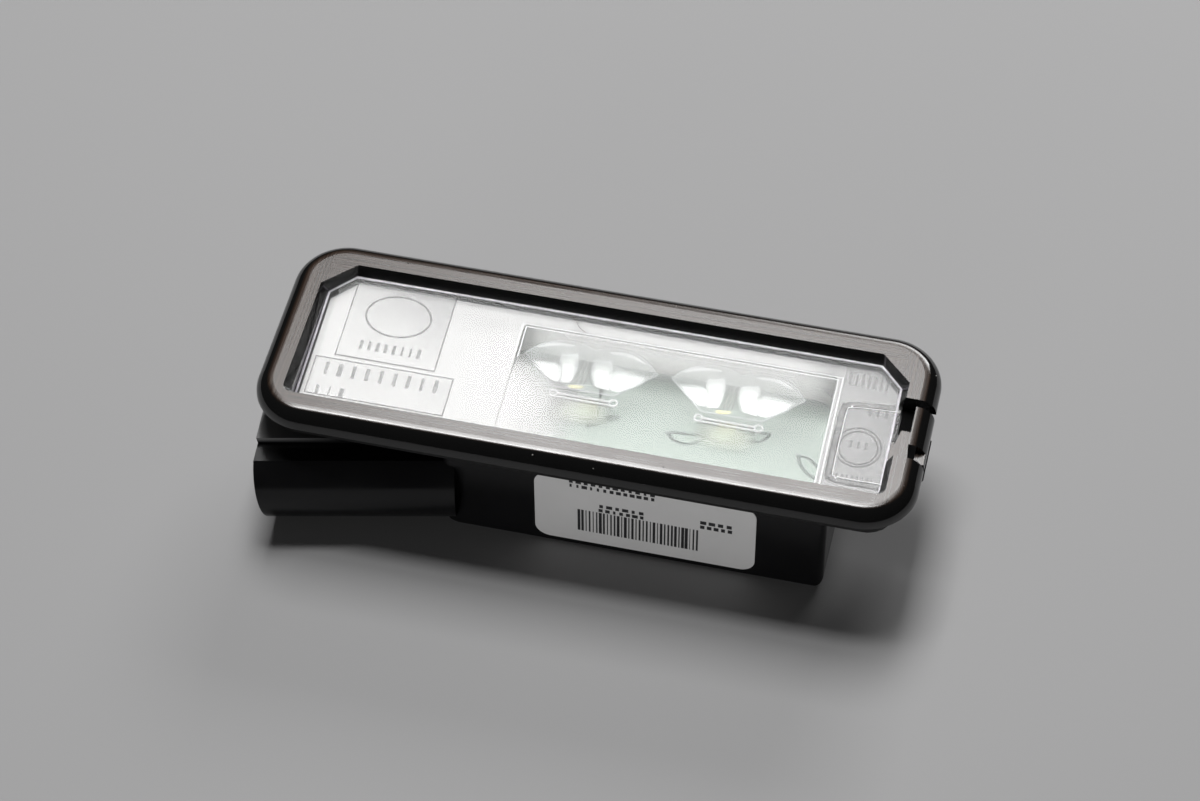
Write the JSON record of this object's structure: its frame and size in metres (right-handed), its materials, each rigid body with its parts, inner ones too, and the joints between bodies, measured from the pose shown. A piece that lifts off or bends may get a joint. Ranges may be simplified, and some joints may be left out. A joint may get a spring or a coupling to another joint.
{
  "type": "number plate lamp",
  "caption": "Car number plate lamp: glossy black frame round a sunk clear lens, a box with the board behind it, a round plug shroud and a snap catch.",
  "frame": {"origin": "centre of the rim's underside, the plane that meets the car's panel", "axes": "+Z out of the lens, +X towards the snap catch, -X towards the plug, -Y towards the label"},
  "size_m": [0.086, 0.0359, 0.0196],
  "materials": {
    "housing_black": "moulded black plastic, satin gloss",
    "bezel_black": "polished black plastic with fine lengthwise lines",
    "clear_lens": "clear moulded plastic, glossy",
    "seal_rubber": "soft black, matt",
    "white_frame": "white moulded plastic",
    "board_pale": "pale mint solder mask",
    "led_white": "white package",
    "phosphor_yellow": "yellow phosphor",
    "clear_optic": "clear moulded plastic with bright facets",
    "chip_black": "black package",
    "resistor_dark": "dark glaze with bright ends",
    "capacitor_tan": "tan ceramic",
    "terminal_brass": "tinned brass",
    "solder_tin": "bright solder",
    "label_film": "pale silver film with grey print"
  },
  "bodies": {
    "root": {"housing": "housing_black", "bezel": "bezel_black", "lens": "clear_lens", "body_seal": "seal_rubber", "inner_frame": "white_frame", "circuit_board": "board_pale", "led_body_left": "led_white", "led_body_right": "led_white", "phosphor_left": "phosphor_yellow", "phosphor_right": "phosphor_yellow", "optic_left": "clear_optic", "optic_right": "clear_optic", "driver_chip": "chip_black", "polarity_diode": "chip_black", "surge_guard": "chip_black", "resistors": "resistor_dark", "capacitors": "capacitor_tan", "terminal_1": "terminal_brass", "terminal_2": "terminal_brass", "solder_joints": "solder_tin", "label": "label_film"}
  },
  "joints": []
}
